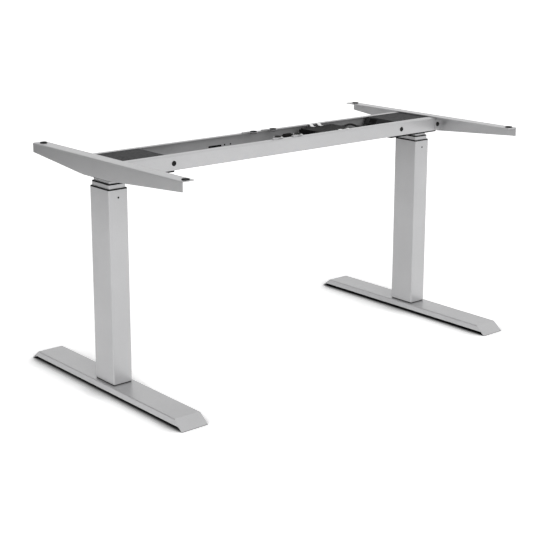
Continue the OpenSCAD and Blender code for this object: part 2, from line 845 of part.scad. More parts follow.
// Ear on the rail's lip that carries a grommet
module ear() {
    root = lip_y + ear_root_d;
    translate([0, 0, rail_top + ear_rise]) linear_extrude(ear_t) {
        translate([-grommet_x, grommet_y]) circle(ear_r);
        polygon([
            [-ear_root_x - ear_root_l, root], [-grommet_x + 0.5 * ear_r, root],
            [-grommet_x + ear_r, grommet_y], [-grommet_x, grommet_y - ear_r],
            [-grommet_x - ear_side_share * ear_r, grommet_y - ear_low_share * ear_r],
            [-ear_root_x, lip_y], [-ear_root_x - ear_root_l, lip_y]
        ]);
    }
    translate([-ear_root_x - ear_root_l, lip_y, rail_top - 0.5 * rail_t])
        cube([ear_root_l, ear_root_d, 0.5 * rail_t + ear_rise + 0.5 * ear_t]);
}

module centre_rail() {
    color([0.74, 0.74, 0.75]) difference() {
        union() {
            across_x(2 * rail_half_l) centre_section();
            for (dx = [0, 2 * grommet_x]) translate([dx, 0, 0]) {
                ear();
                mirror([0, 1, 0]) ear();
            }
        }
        for (s = [-1, 1]) {
            floor_cut(s);
            bolt_notch(s);
        }
        cross_hole(-left_clamp_x, bolt_r + fit_gap);
        cross_hole(right_clamp_x, bolt_r + fit_gap);
        wall_slot();
        for (s = [-1, 1])
            wall_hole(wall_hole_x + s * 0.5 * wall_hole_step, wall_hole_z, wall_hole_r);
        grommet_places() translate([0, 0, rail_top - rail_t - over])
            cylinder(h = rail_t + ear_rise + ear_t + 2 * over, r = grommet_neck_r + fit_gap);
        grommet_places() translate([0, 0, rail_top + ear_rise - grommet_low_h])
            cylinder(h = grommet_low_h, r = grommet_r + fit_gap);
    }
}

module end_rail() {
    bolt_x = bracket_out - tab_bolt_in;
    color([0.66, 0.66, 0.67]) difference() {
        translate([bracket_in - 0.5 * end_rail_l, 0, 0]) across_x(end_rail_l) end_section();
        translate([0, 0, head_top - over])
            cylinder(h = rail_t + 2 * over, r = head_hole_r);
        cross_hole(bolt_x, bolt_r + fit_gap);
    }
}

// Side bracket: an angle with a web on the outside and a tapering flange on top
module angle_section() {
    difference() {
        union() {
            translate([bracket_out - flange_w, flange_bottom])
                square([flange_w - bracket_bend_r, bracket_t]);
            translate([bracket_in, flange_top - web_depth])
                square([bracket_t, web_depth - bracket_bend_r]);
            intersection() {
                translate([bracket_out - bracket_bend_r, flange_top - bracket_bend_r])
                    circle(bracket_bend_r);
                translate([bracket_out - bracket_bend_r, flange_top - bracket_bend_r])
                    square([bracket_bend_r, bracket_bend_r]);
            }
        }
        translate([bracket_in - bracket_bend_r, flange_bottom - bracket_bend_r])
            square([bracket_bend_r, bracket_bend_r]);
    }
}

module web_outline() {
    polygon([
        [-bracket_front, flange_top], [-bracket_front, flange_top - web_end_depth],
        [-bracket_flat, flange_top - web_depth], [bracket_flat, flange_top - web_depth],
        [bracket_rear, flange_top - web_end_depth], [bracket_rear, flange_top]
    ]);
}

module bolt_tab() {
    difference() {
        translate([bracket_in, tab_face + bracket_t, rail_bottom]) rotate([90, 0, 0])
            linear_extrude(bracket_t) {
                translate([-tab_w + tab_corner_r, 0]) square([tab_w - tab_corner_r, tab_h]);
                translate([-tab_w, tab_corner_r]) square([tab_w, tab_h - 2 * tab_corner_r]);
                for (z = [tab_corner_r, tab_h - tab_corner_r])
                    translate([-tab_w + tab_corner_r, z]) circle(tab_corner_r);
            }
        cross_hole_out(bolt_r + fit_gap);
    }
}

module cross_hole_out(r) {
    translate([bracket_out - tab_bolt_in, 0.5 * rail_w - over, bolt_z]) rotate([-90, 0, 0])
        cylinder(h = tab_gap + bracket_t + 2 * over, r = r);
}

module pad_places() {
    for (y = [pad_front_inset - bracket_front, bracket_rear - pad_rear_inset])
        translate([bracket_out - pad_in, y, 0]) children();
}

module side_bracket() {
    color([0.72, 0.72, 0.73]) {
        difference() {
            intersection() {
                translate([0, 0.5 * (bracket_rear - bracket_front), 0])
                    along_y(bracket_front + bracket_rear) angle_section();
                translate([bracket_out - 0.5 * flange_w, 0, 0])
                    across_x(flange_w + 2 * over) web_outline();
            }
            pad_places() translate([0, 0, flange_bottom - over])
                cylinder(h = bracket_t + 2 * over, r = pad_hole_r);
        }
        bolt_tab();
        mirror([0, 1, 0]) bolt_tab();
    }
}

module bracket_pads() {
    color([0.05, 0.05, 0.05]) pad_places() translate([0, 0, flange_top]) difference() {
        disc(pad_r, pad_h, grommet_edge_r);
        translate([0, 0, -over]) cylinder(h = pad_h + 2 * over, r = pad_hole_r);
    }
}

// Button head bolt along Y, its head's underside at the origin and the head towards -Y
module button_bolt(l) {
    dome_r = (bolt_head_r * bolt_head_r + bolt_head_h * bolt_head_h) / (2 * bolt_head_h);
    socket_share = 0.45;
    difference() {
        rotate([90, 0, 0]) rotate_extrude() intersection() {
            translate([0, bolt_head_h - dome_r]) circle(dome_r, $fn = 96);
            square([bolt_head_r, bolt_head_h]);
        }
        translate([0, -socket_share * bolt_head_h, 0]) rotate([90, 0, 0])
            cylinder(h = bolt_head_h, r = socket_share * bolt_head_r, $fn = nut_sides);
    }
    rotate([-90, 0, 0]) cylinder(h = l, r = bolt_r);
}

module bolt_nut() {
    rotate([-90, 0, 0]) difference() {
        cylinder(h = nut_h, r = nut_r, $fn = nut_sides);
        translate([0, 0, -over]) cylinder(h = nut_h + 2 * over, r = bolt_r + fit_gap);
    }
}

module bracket_bolts() {
    x = bracket_out - tab_bolt_in;
    face = tab_face + bracket_t;
    inner_face = 0.5 * end_rail_w - rail_t;
    color([0.05, 0.05, 0.05]) for (m = [0, 1]) mirror([0, m, 0]) {
        translate([x, -face, bolt_z]) button_bolt(face - inner_face + nut_h);
        translate([x, -inner_face, bolt_z]) bolt_nut();
    }
}

module rail_clamp_bolts() {
    l = rail_t + 0.5 * rail_side_gap;
    color([0.05, 0.05, 0.05])
        for (m = [0, 1], x = [-left_clamp_x, right_clamp_x]) mirror([0, m, 0])
            translate([x, -0.5 * rail_w, bolt_z]) button_bolt(l);
}

// Rubber grommets that the desktop rests on, in the middle of the rail
module grommet_places() {
    for (x = [-grommet_x, grommet_x], y = [-grommet_y, grommet_y]) translate([x, y, 0])
        children();
}

module grommet() {
    low = rail_top + ear_rise;
    difference() {
        union() {
            translate([0, 0, flange_top]) disc(grommet_r, pad_h, grommet_edge_r);
            translate([0, 0, low]) cylinder(h = ear_t, r = grommet_neck_r);
            translate([0, 0, low - grommet_low_h]) disc(grommet_r, grommet_low_h,
                                                        grommet_edge_r);
        }
        translate([0, 0, low - grommet_low_h - over])
            cylinder(h = grommet_low_h + ear_t + pad_h + 2 * over, r = grommet_hole_r);
    }
}

module centre_grommets() {
    color([0.05, 0.05, 0.05]) grommet_places() grommet();
}

// Control box with its sockets on the left end and a gland for a motor lead on each end.
// Two runners stand on the centre rail and lift it clear of the end rail that slides under it
module port(y) {
    translate([box_x - over, y - 0.5 * port_w, box_floor + port_rise])
        cube([port_d + over, port_w, port_h]);
}

module gland(x, y) {
    translate([x, y, box_floor + gland_rise]) rotate([0, 90, 0])
        cylinder(h = gland_l + over, r = gland_r);
}

module control_box() {
    color([0.07, 0.07, 0.08]) {
        difference() {
            translate([box_x + 0.5 * box_l, 0, box_floor]) linear_extrude(box_h)
                round_rect(box_l, box_w, box_r);
            for (i = [0 : port_count - 1]) port(port_inset - 0.5 * box_w + i * port_step);
        }
        for (y = [-1, 1])
            translate([box_x + runner_inset, y * (0.5 * box_w - runner_inset - runner_w)
                       - 0.5 * runner_w, rail_bottom + rail_t])
                cube([runner_l, runner_w, box_floor - rail_bottom - rail_t + over]);
        gland(box_x - gland_l, gland_y);
        gland(box_x + box_l - over, -gland_y);
    }
}

module control_lid() {
    x = box_x + 0.5 * box_l;
    color([0.09, 0.09, 0.10]) {
        translate([x, 0, box_floor + box_h]) linear_extrude(lid_step_h)
            round_rect(box_l, box_w, box_r);
        translate([x, 0, box_floor + box_h + lid_step_h]) linear_extrude(lid_h - lid_step_h)
            round_rect(box_l - 2 * lid_inset, box_w - 2 * lid_inset, lid_top_r);
    }
}

// Spring clip that stands on the lid and hooks over the rail's lip
module clip_outline() {
    lid_z = box_floor + box_h + lid_h;
    edge = 0.5 * box_w - lid_inset;
    polygon([
        [edge - clip_foot, lid_z], [edge, lid_z], [lip_y - clip_t, rail_top],
        [lip_y + clip_tongue, rail_top], [lip_y + clip_tongue, rail_top + clip_t],
        [lip_y - clip_bend_share * clip_t, rail_top + clip_t],
        [edge - 0.5 * clip_t, lid_z + clip_t],
        [edge - clip_foot, lid_z + clip_t]
    ]);
}

module control_clips() {
    color([0.8, 0.8, 0.82]) for (m = [0, 1], s = [-1, 1])
        translate([box_x + 0.5 * (box_l + s * clip_step), 0, 0]) mirror([0, m, 0])
            across_x(clip_w) clip_outline();
}

// Round tube swept through a list of points
function unit(v) = v / norm(v);
function heading(p, i) = unit(p[min(i + 1, len(p) - 1)] - p[max(i - 1, 0)]);
function side_dir(p, i) = unit(cross(heading(p, i), [0, 0, 1]));
function ring_points(p, i, r, n) = [
    for (k = [0 : n - 1])
        p[i] + r * (cos(360 * k / n) * side_dir(p, i)
                    + sin(360 * k / n) * cross(side_dir(p, i), heading(p, i)))
];

module tube_along(p, r, n) {
    last = len(p) - 1;
    rings = [for (i = [0 : last]) each ring_points(p, i, r, n)];
    quads = [
        for (i = [0 : last - 1], k = [0 : n - 1], half = [0, 1])
            half == 0
                ? [i * n + k, i * n + (k + 1) % n, (i + 1) * n + (k + 1) % n]
                : [i * n + k, (i + 1) * n + (k + 1) % n, (i + 1) * n + k]
    ];
    start = [for (k = [n - 1 : -1 : 0]) k];
    end = [for (k = [0 : n - 1]) last * n + k];
    polyhedron(points = rings, faces = concat([start], quads, [end]));
}

module motor_lead(route) {
    color([0.03, 0.03, 0.03]) tube_along(route, lead_r, lead_sides);
}

// The left lead has an in-line coupling
module left_motor_lead() {
    motor_lead(left_lead);
    color([0.03, 0.03, 0.03]) translate([coupling_x, coupling_at[1], coupling_at[2]])
        rotate([0, 90, 0]) disc(coupling_r, coupling_l, coupling_edge);
}

module lead_plug() {
    color([0.05, 0.05, 0.05]) translate([plug_x, -0.5 * plug_w, plug_z - 0.5 * plug_h])
        cube([plug_out + plug_in, plug_w, plug_h]);
}

on_side(-1) foot();  // left_foot
on_side(-1) glide(-1);  // left_front_glide
on_side(-1) glide(1);  // left_rear_glide
on_side(-1) base_plate();  // left_base_plate
on_side(-1) base_screws();  // left_base_screws
on_side(-1) outer_tube();  // left_outer_tube
on_side(-1) outer_collar();  // left_outer_collar
on_side(-1) outer_guide();  // left_outer_guide
on_side(-1) set_screw();  // left_set_screw
on_side(-1) base_post();  // left_base_post
on_side(-1) middle_tube();  // left_middle_tube
on_side(-1) middle_guide();  // left_middle_guide
on_side(-1) middle_post();  // left_middle_post
on_side(-1) lower_spindle();  // left_lower_spindle
on_side(-1) inner_tube();  // left_inner_tube
on_side(-1) upper_spindle();  // left_upper_spindle
on_side(-1) head_plate();  // left_head_plate
on_side(-1) gearbox();  // left_gearbox
on_side(-1) motor();  // left_motor
on_side(-1) motor_socket(-1);  // left_motor_socket
on_side(-1) head_cover(-1);  // left_head_cover
on_side(-1) end_rail();  // left_end_rail
on_side(-1) side_bracket();  // left_side_bracket
on_side(-1) bracket_pads();  // left_bracket_pads
on_side(-1) bracket_bolts();  // left_bracket_bolts
on_side(1) foot();  // right_foot
on_side(1) glide(-1);  // right_front_glide
on_side(1) glide(1);  // right_rear_glide
on_side(1) base_plate();  // right_base_plate
on_side(1) base_screws();  // right_base_screws
on_side(1) outer_tube();  // right_outer_tube
on_side(1) outer_collar();  // right_outer_collar
on_side(1) outer_guide();  // right_outer_guide
on_side(1) set_screw();  // right_set_screw
on_side(1) base_post();  // right_base_post
on_side(1) middle_tube();  // right_middle_tube
on_side(1) middle_guide();  // right_middle_guide
on_side(1) middle_post();  // right_middle_post
on_side(1) lower_spindle();  // right_lower_spindle
on_side(1) inner_tube();  // right_inner_tube
on_side(1) upper_spindle();  // right_upper_spindle
on_side(1) head_plate();  // right_head_plate
on_side(1) gearbox();  // right_gearbox
on_side(1) motor();  // right_motor
on_side(1) motor_socket(1);  // right_motor_socket
on_side(1) head_cover(1);  // right_head_cover
on_side(1) end_rail();  // right_end_rail
on_side(1) side_bracket();  // right_side_bracket
on_side(1) bracket_pads();  // right_bracket_pads
on_side(1) bracket_bolts();  // right_bracket_bolts
midway() centre_rail();
midway() rail_clamp_bolts();
midway() centre_grommets();
midway() control_box();
midway() control_lid();
midway() control_clips();
midway() left_motor_lead();
midway() mirror([1, 0, 0]) translate([0, -socket_y, 0]) lead_plug();  // left_lead_plug
midway() motor_lead(right_lead);  // right_motor_lead
midway() translate([0, socket_y, 0]) lead_plug();  // right_lead_plug
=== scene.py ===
"""Looks of the desk frame: camera, light, floor and materials, and the pieces that are added
or shown in more detail than in the CAD: motor leads, feet, and black fills of painted shade
in the rail wall's openings."""
import json
import math

import bmesh
import bpy
from mathutils import Matrix, Vector


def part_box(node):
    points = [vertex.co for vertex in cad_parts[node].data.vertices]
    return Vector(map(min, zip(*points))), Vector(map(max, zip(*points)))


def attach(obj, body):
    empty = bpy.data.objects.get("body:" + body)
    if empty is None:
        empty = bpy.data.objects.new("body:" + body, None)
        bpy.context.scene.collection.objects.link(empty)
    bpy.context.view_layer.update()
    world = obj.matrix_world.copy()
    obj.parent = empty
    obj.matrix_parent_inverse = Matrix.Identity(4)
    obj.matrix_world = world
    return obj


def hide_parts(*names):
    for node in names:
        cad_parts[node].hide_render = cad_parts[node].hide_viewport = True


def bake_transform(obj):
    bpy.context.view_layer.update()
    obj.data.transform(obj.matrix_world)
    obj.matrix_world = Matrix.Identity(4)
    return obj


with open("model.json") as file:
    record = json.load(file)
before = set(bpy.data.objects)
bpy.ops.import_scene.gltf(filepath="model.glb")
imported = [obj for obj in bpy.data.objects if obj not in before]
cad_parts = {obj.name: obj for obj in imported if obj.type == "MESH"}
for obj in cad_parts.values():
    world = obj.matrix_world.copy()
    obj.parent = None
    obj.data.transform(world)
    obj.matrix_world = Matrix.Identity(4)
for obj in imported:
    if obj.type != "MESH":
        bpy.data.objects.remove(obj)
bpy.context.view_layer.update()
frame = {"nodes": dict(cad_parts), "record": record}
bpy.context.scene.view_settings.view_transform = "Standard"
NODES = frame["nodes"]
SIDES = ("left", "right")
MM = 0.001


def add_object(name, data):
    thing = bpy.data.objects.new(name, data)
    bpy.context.scene.collection.objects.link(thing)
    return thing


# Camera: fitted to the photograph's edges, in its 542 pixel frame
IMAGE_PX = 542
FOCAL_PX = 1257.81
SENSOR_MM = 36.0
CAMERA_AT = (-2.2627, -2.6164, 1.2023)
CAMERA_HEADING = 0.8628
CAMERA_PITCH = math.radians(13.382)
CAMERA_ROLL = math.radians(0.123)
CAMERA_SHIFT_Y = -0.10
CAMERA_CLIP = (0.05, 200.0)


def make_camera():
    data = bpy.data.cameras.new("camera")
    data.sensor_width = SENSOR_MM
    data.lens = FOCAL_PX / IMAGE_PX * SENSOR_MM
    data.shift_y = CAMERA_SHIFT_Y
    data.clip_start, data.clip_end = CAMERA_CLIP
    camera = add_object("camera", data)
    cos_h, sin_h = math.cos(CAMERA_HEADING), math.sin(CAMERA_HEADING)
    level = math.cos(CAMERA_PITCH)
    forward = Vector((cos_h * level, sin_h * level, -math.sin(CAMERA_PITCH)))
    right = Vector((sin_h, -cos_h, 0.0))
    up = right.cross(forward)
    cos_r, sin_r = math.cos(CAMERA_ROLL), math.sin(CAMERA_ROLL)
    right, up = right * cos_r + up * sin_r, up * cos_r - right * sin_r
    turn = Matrix((right, up, -forward)).transposed()
    camera.matrix_world = Matrix.Translation(CAMERA_AT) @ turn.to_4x4()
    bpy.context.scene.camera = camera


# Shader nodes
def feed_socket(tree, socket, source):
    """Link an input to the output given, or set it to the value given."""
    if isinstance(source, bpy.types.NodeSocket):
        tree.links.new(source, socket)
    else:
        socket.default_value = source


def feed(tree, node, **inputs):
    """Feed a node's inputs by name, where _ stands for a space."""
    for name, source in inputs.items():
        feed_socket(tree, node.inputs[name.replace("_", " ")], source)


def add_node(tree, kind, **inputs):
    node = tree.nodes.new(kind)
    feed(tree, node, **inputs)
    return node


def maths(tree, operation, *sources):
    node = tree.nodes.new("ShaderNodeMath")
    node.operation = operation
    for socket, source in zip(node.inputs, sources):
        feed_socket(tree, socket, source)
    return node.outputs[0]


def cleared(owner, output_kind):
    """The emptied node tree of a world or material, and its new output node."""
    owner.use_nodes = True
    tree = owner.node_tree
    tree.nodes.clear()
    return tree, tree.nodes.new(output_kind)


def grey(tone):
    return (tone,) * 3


# Light: an even white surround, a broad soft key from the front with a weaker light from
# above, and dark cards at the rear left that only reflections see. The floor and the
# surround show white.
WORLD_LIGHT = 0.34
WORLD_SEEN = 1.0
# Each lamp: direction it shines from, strength and spread
LAMPS = {
    "key": (Vector((-0.25, -0.93, 0.20)), 1.82, math.radians(50)),
    "top": (Vector((-0.10, -0.50, 0.85)), 1.1, math.radians(70)),
}
FLOOR_SIZE = 60.0
FLOOR_ALBEDO = 0.80
FLOOR_SEEN = 1.62
CONTACT_REACH = 0.07
CONTACT_POWER = 2.5
CONTACT_SAMPLES = 16
CARD_AT = Vector((-1.70, 2.20, 0.0))
CARD_WIDTH = 3.4
# Lower and upper edge of each card: the webs mirror the low one, their bends the high one
CARD_EDGES = ((0.08, 0.80), (1.75, 2.90))
CARD_TONE = 0.02


def seen_or_lit(tree, lit, seen):
    """Shader that camera, glossy and transmission rays see as one, and light as another."""
    path = tree.nodes.new("ShaderNodeLightPath")
    switch = path.outputs["Is Camera Ray"]
    for ray in ("Is Glossy Ray", "Is Transmission Ray"):
        switch = maths(tree, "MAXIMUM", switch, path.outputs[ray])
    mix = tree.nodes.new("ShaderNodeMixShader")
    tree.links.new(switch, mix.inputs[0])
    tree.links.new(lit.outputs[0], mix.inputs[1])
    tree.links.new(seen.outputs[0], mix.inputs[2])
    return mix.outputs[0]


def make_light():
    world = bpy.data.worlds.new("surround")
    bpy.context.scene.world = world
    tree, out = cleared(world, "ShaderNodeOutputWorld")
    lit, seen = (add_node(tree, "ShaderNodeBackground", Color=(1, 1, 1, 1), Strength=strength)
                 for strength in (WORLD_LIGHT, WORLD_SEEN))
    feed(tree, out, Surface=seen_or_lit(tree, lit, seen))
    for name, (shines_from, strength, spread) in LAMPS.items():
        sun = bpy.data.lights.new(name, "SUN")
        sun.energy = strength
        sun.angle = spread
        lamp = add_object(name, sun)
        lamp.rotation_mode = "QUATERNION"
        lamp.rotation_quaternion = shines_from.to_track_quat("Z", "Y")
        lamp.visible_glossy = False


def stage_plane(name, corners, material):
    mesh = bpy.data.meshes.new(name)
    mesh.from_pydata(corners, [], [(0, 1, 2, 3)])
    plane = add_object(name, mesh)
    mesh.materials.append(material)
    return plane


def make_floor():
    material = bpy.data.materials.new("floor")
    tree, out = cleared(material, "ShaderNodeOutputMaterial")
    lit = add_node(tree, "ShaderNodeBsdfDiffuse", Color=grey(FLOOR_ALBEDO) + (1,))
    # The feet's contact shadow, which the floor's white would otherwise drown
    near = add_node(tree, "ShaderNodeAmbientOcclusion", Distance=CONTACT_REACH)
    near.samples = CONTACT_SAMPLES
    path = tree.nodes.new("ShaderNodeLightPath")
    power = maths(tree, "MULTIPLY", path.outputs["Is Camera Ray"], CONTACT_POWER)
    shade = tree.nodes.new("ShaderNodeVectorMath")
    shade.operation = "SCALE"
    feed(tree, shade, Vector=grey(FLOOR_SEEN),
         Scale=maths(tree, "POWER", near.outputs["AO"], power))
    seen = add_node(tree, "ShaderNodeBsdfDiffuse", Color=shade.outputs[0])
    feed(tree, out, Surface=seen_or_lit(tree, lit, seen))
    half = 0.5 * FLOOR_SIZE
    corners = [(-half, -half, 0), (half, -half, 0), (half, half, 0), (-half, half, 0)]
    stage_plane("floor", corners, material)


def make_cards():
    """Dark cards that face the left leg; only reflections see them."""
    material = bpy.data.materials.new("card")
    tree, out = cleared(material, "ShaderNodeOutputMaterial")
    shader = add_node(tree, "ShaderNodeBsdfDiffuse", Color=grey(CARD_TONE) + (1,))
    feed(tree, out, Surface=shader.outputs[0])
    across = Vector((CARD_AT.y, -CARD_AT.x, 0)).normalized() * 0.5 * CARD_WIDTH
    for i, edges in enumerate(CARD_EDGES, 1):
        low, high = (CARD_AT + Vector((0, 0, z)) for z in edges)
        corners = [low - across, low + across, high + across, high - across]
        card = stage_plane("card_%d" % i, corners, material)
        card.visible_camera = card.visible_diffuse = card.visible_shadow = False


# Materials
def shader_of(name):
    material = bpy.data.materials.new(name)
    material.use_nodes = True
    return material, material.node_tree, material.node_tree.nodes["Principled BSDF"]


def noise(tree, scale, detail=3.0, stretch=None):
    source = add_node(tree, "ShaderNodeTexCoord").outputs["Object"]
    if stretch:
        mapping = add_node(tree, "ShaderNodeMapping", Vector=source, Scale=stretch)
        source = mapping.outputs["Vector"]
    node = add_node(tree, "ShaderNodeTexNoise", Vector=source, Scale=scale, Detail=detail)
    return node.outputs["Fac"]


def ramp(tree, source, low, high, start=0.3, end=0.7):
    """A source between 0 and 1 turned into a colour or a number between low and high."""
    if isinstance(low, tuple):
        node = add_node(tree, "ShaderNodeValToRGB", Fac=source)
        stops = node.color_ramp.elements
        stops[0].position, stops[1].position = start, end
        stops[0].color, stops[1].color = low + (1,), high + (1,)
        return node.outputs["Color"]
    node = add_node(tree, "ShaderNodeMapRange", Value=source, From_Min=start, From_Max=end,
                    To_Min=low, To_Max=high)
    return node.outputs["Result"]


def bump(tree, source, height, strength=1.0):
    node = add_node(tree, "ShaderNodeBump", Height=source, Distance=height,
                    Strength=strength)
    return node.outputs["Normal"]


# Powder coat: slow patches of tone, uneven sheen, orange peel, and flakes that scale the
# tone. FLAKE_RANGE is the span of random greys that is spread over FLAKE_TONES.
PATCH_SCALE, PATCH_DETAIL = 6.0, 2.0
SHEEN_SCALE = 90.0
PEEL_SCALE, PEEL_DETAIL = 620.0, 2.0
PEEL_HEIGHT, PEEL_STRENGTH = 0.00005, 0.5
FLAKE_SCALE = 1800.0
FLAKE_TONES = (grey(0.955), grey(1.04))
FLAKE_RANGE = (0.2, 0.85)


def powder_coat(name, tone, metallic=0.55, rough=(0.29, 0.36), cool=1.012, vary=0.03,
                specular=0.3):
    """Satin metallic powder coat: fine orange peel, faint flakes and slow tone changes."""
    material, tree, shader = shader_of(name)
    low, high = ((level, level, level * cool)
                 for level in (tone * (1 - vary), tone * (1 + vary)))
    place = tree.nodes.new("ShaderNodeTexCoord")
    flakes = add_node(tree, "ShaderNodeTexVoronoi", Vector=place.outputs["Object"],
                      Scale=FLAKE_SCALE)
    random_grey = add_node(tree, "ShaderNodeRGBToBW", Color=flakes.outputs["Color"])
    mix = tree.nodes.new("ShaderNodeMix")
    mix.data_type = "RGBA"
    mix.blend_type = "MULTIPLY"
    feed(tree, mix, Factor=1.0,
         A=ramp(tree, noise(tree, PATCH_SCALE, PATCH_DETAIL), low, high),
         B=ramp(tree, random_grey.outputs["Val"], *FLAKE_TONES, *FLAKE_RANGE))
    peel = noise(tree, PEEL_SCALE, PEEL_DETAIL)
    feed(tree, shader, Metallic=metallic, Specular_IOR_Level=specular,
         Base_Color=mix.outputs["Result"],
         Roughness=ramp(tree, noise(tree, SHEEN_SCALE), *rough),
         Normal=bump(tree, peel, PEEL_HEIGHT, PEEL_STRENGTH))
    return material


def grained(name, tones, rough, scales, height, strength, metallic=0.0, specular=0.5,
            detail=3.0):
    """Uneven tone and roughness under a grain; scales are those of the three noises."""
    material, tree, shader = shader_of(name)
    patches, rubs, grains = scales
    feed(tree, shader, Metallic=metallic, Specular_IOR_Level=specular,
         Base_Color=ramp(tree, noise(tree, patches), *tones),
         Roughness=ramp(tree, noise(tree, rubs), *rough),
         Normal=bump(tree, noise(tree, grains, detail), height, strength))
    return material


def moulded(name, tones, rough=(0.34, 0.5), grain=900.0, height=0.00006):
    """Moulded plastic: a fine spark grain over a slightly uneven tone."""
    return grained(name, tones, rough, (22.0, 160.0, grain), height, strength=0.6,
                   specular=0.03, detail=4.0)


def turned_steel(name, tone, rough=(0.2, 0.36), stretch=(1, 1, 60)):
    """Bare steel with fine rings of tool marks round the axis."""
    material, tree, shader = shader_of(name)
    marks = noise(tree, scale=30.0, detail=5.0, stretch=stretch)
    feed(tree, shader, Metallic=1.0,
         Base_Color=ramp(tree, marks, grey(tone * 0.86), grey(tone * 1.08)),
         Roughness=ramp(tree, marks, *rough),
         Normal=bump(tree, marks, height=0.00004, strength=0.4))
    return material


def threaded(name, tone, pitch, depth):
    """Bright screw thread: rings of bump at the thread's pitch along Z, with painted shade
    that darkens the colour in the thread's roots.
    """
    material, tree, shader = shader_of(name)
    place = tree.nodes.new("ShaderNodeTexCoord")
    # One band of the wave texture is a twentieth of 2 pi long
    wave = add_node(tree, "ShaderNodeTexWave", Vector=place.outputs["Object"],
                    Scale=2 * math.pi / (20 * pitch))
    wave.wave_type = "BANDS"
    wave.bands_direction = "Z"
    rings = wave.outputs["Fac"]
    # Base colour follows the rings, darker in their low bands: painted shade in the thread's
    # roots
    feed(tree, shader, Metallic=1.0,
         Base_Color=ramp(tree, rings, grey(tone * 0.55), grey(tone), start=0.0, end=0.6),
         Roughness=ramp(tree, noise(tree, scale=500.0), 0.2, 0.32),
         Normal=bump(tree, rings, depth))
    return material


PAINT_TONE = 0.48
COLUMN_TONE = PAINT_TONE * 0.98
LOOKS = {
    "frame_paint": powder_coat("frame_paint", PAINT_TONE),
    "column_paint": powder_coat("column_paint", COLUMN_TONE),
    "dark_steel": powder_coat("dark_steel", 0.014, metallic=0.0, rough=(0.5, 0.65),
                              cool=1.02, vary=0.15, specular=0.04),
    "guide_plastic": moulded("guide_plastic", (grey(0.012), grey(0.022))),
    # Black oxide on machined fasteners, worn a little lighter in places
    "black_screws": grained("black_screws", (grey(0.006), grey(0.018)), (0.28, 0.45),
                            scales=(180.0, 420.0, 1300.0), height=0.00003, strength=0.4,
                            metallic=0.3, specular=0.12),
    "bare_steel": turned_steel("bare_steel", 0.52),
    "gearbox_casting": grained("gearbox_casting", (grey(0.20), grey(0.30)), (0.42, 0.6),
                               scales=(70.0, 300.0, 700.0), height=0.0001, strength=0.6,
                               metallic=0.85, detail=5.0),
    "motor_can": powder_coat("motor_can", 0.05, metallic=0.6, rough=(0.3, 0.42), cool=1.02,
                             vary=0.1, specular=0.15),
    "black_plastic": moulded("black_plastic", (grey(0.007), grey(0.014)), (0.5, 0.65)),
    "cover_plastic": moulded("cover_plastic",
                             ((0.030, 0.030, 0.031), (0.038, 0.038, 0.040)),
                             (0.45, 0.6), grain=520.0, height=0.00012),
    "pad_rubber": grained("pad_rubber", (grey(0.008), grey(0.017)), (0.45, 0.7),
                          scales=(240.0, 130.0, 1100.0), height=0.00005, strength=0.5,
                          specular=0.06),
    "lead_sheath": grained("lead_sheath", (grey(0.008), grey(0.02)), (0.32, 0.5),
                           scales=(60.0, 210.0, 800.0), height=0.00004, strength=0.5,
                           specular=0.12),
    "clip_steel": turned_steel("clip_steel", 0.78, (0.16, 0.3), stretch=(1, 14, 1)),
}
THREAD = threaded("spindle_thread", 0.6, pitch=0.003, depth=0.0006)

SHARP_EDGE = math.radians(28)


def smooth(mesh):
    """Smooth faces with sharp creases, so that round faces look round."""
    mesh.shade_smooth()
    mesh.set_sharp_from_angle(angle=SHARP_EDGE)


def dress_nodes():
    slots = {row["node"]: row["material_slot"] for row in frame["record"]["subparts"]}
    for name, node in NODES.items():
        look = THREAD if name.endswith("_spindle") else LOOKS[slots[name]]
        node.data.materials.clear()
        node.data.materials.append(look)
        smooth(node.data)


# Places below are in millimetres from the middle of the rail, which lies this far behind
# the frame's own middle
FRAME_Y = 9.0


def rail_point(p):
    """A point in millimetres from the middle of the rail, as metres in the frame."""
    return Vector((p[0] * MM, (p[1] + FRAME_Y) * MM, p[2] * MM))


def new_piece(name, mesh, look, body):
    """A mesh as a named piece that rides on a body, where one is given."""
    mesh.materials.append(LOOKS[look])
    smooth(mesh)
    piece = add_object(name, mesh)
    if body:
        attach(piece, body)
    return piece


def ring_mesh(name, rings):
    """Closed mesh over rings of points, each ring turning the same way round the path."""
    build = bmesh.new()
    rings = [[build.verts.new(point) for point in ring] for ring in rings]
    for low, high in zip(rings, rings[1:]):
        for k in range(len(low)):
            m = (k + 1) % len(low)
            build.faces.new((low[k], low[m], high[m], high[k]))
    build.faces.new(reversed(rings[0]))
    build.faces.new(rings[-1])
    mesh = bpy.data.meshes.new(name)
    build.to_mesh(mesh)
    build.free()
    return mesh


# Motor leads: the routes of the CAD leads
LEAD_R = 3.2
LEAD_SIDES = 14
LEAD_STEPS = 4
RIGHT_ROUTE = (
    (273, -20, 592), (281, -20, 592), (291, -25, 588), (300, -36, 583),
    (312, -43, 582.9), (340, -45, 582.9), (362, -45, 582.9), (374, -42, 582.9),
    (380, -34, 582.9), (374, -26, 582.9), (362, -23, 582.9), (340, -22, 582.9),
    (310, -21, 582.9), (298, -18, 582.9), (292, -10, 582.9), (298, -2, 582.9),
    (310, 1, 582.9), (340, 2, 582.9), (362, 3, 582.9), (373, 6, 582.9),
    (378, 14, 582.9), (372, 22, 582.9), (360, 25, 582.9), (330, 25, 582.9),
    (300, 26, 583), (286, 29, 587), (280, 37, 592), (286, 45, 596), (298, 48, 598),
    (312, 50, 598), (324, 50, 600), (335, 50, 601.5), (346, 48, 600), (357, 44, 595.5),
    (367, 38, 592.5), (377, 32.5, 593.5), (385, 30.5, 595.4), (393.4, 30.5, 595.4),
)
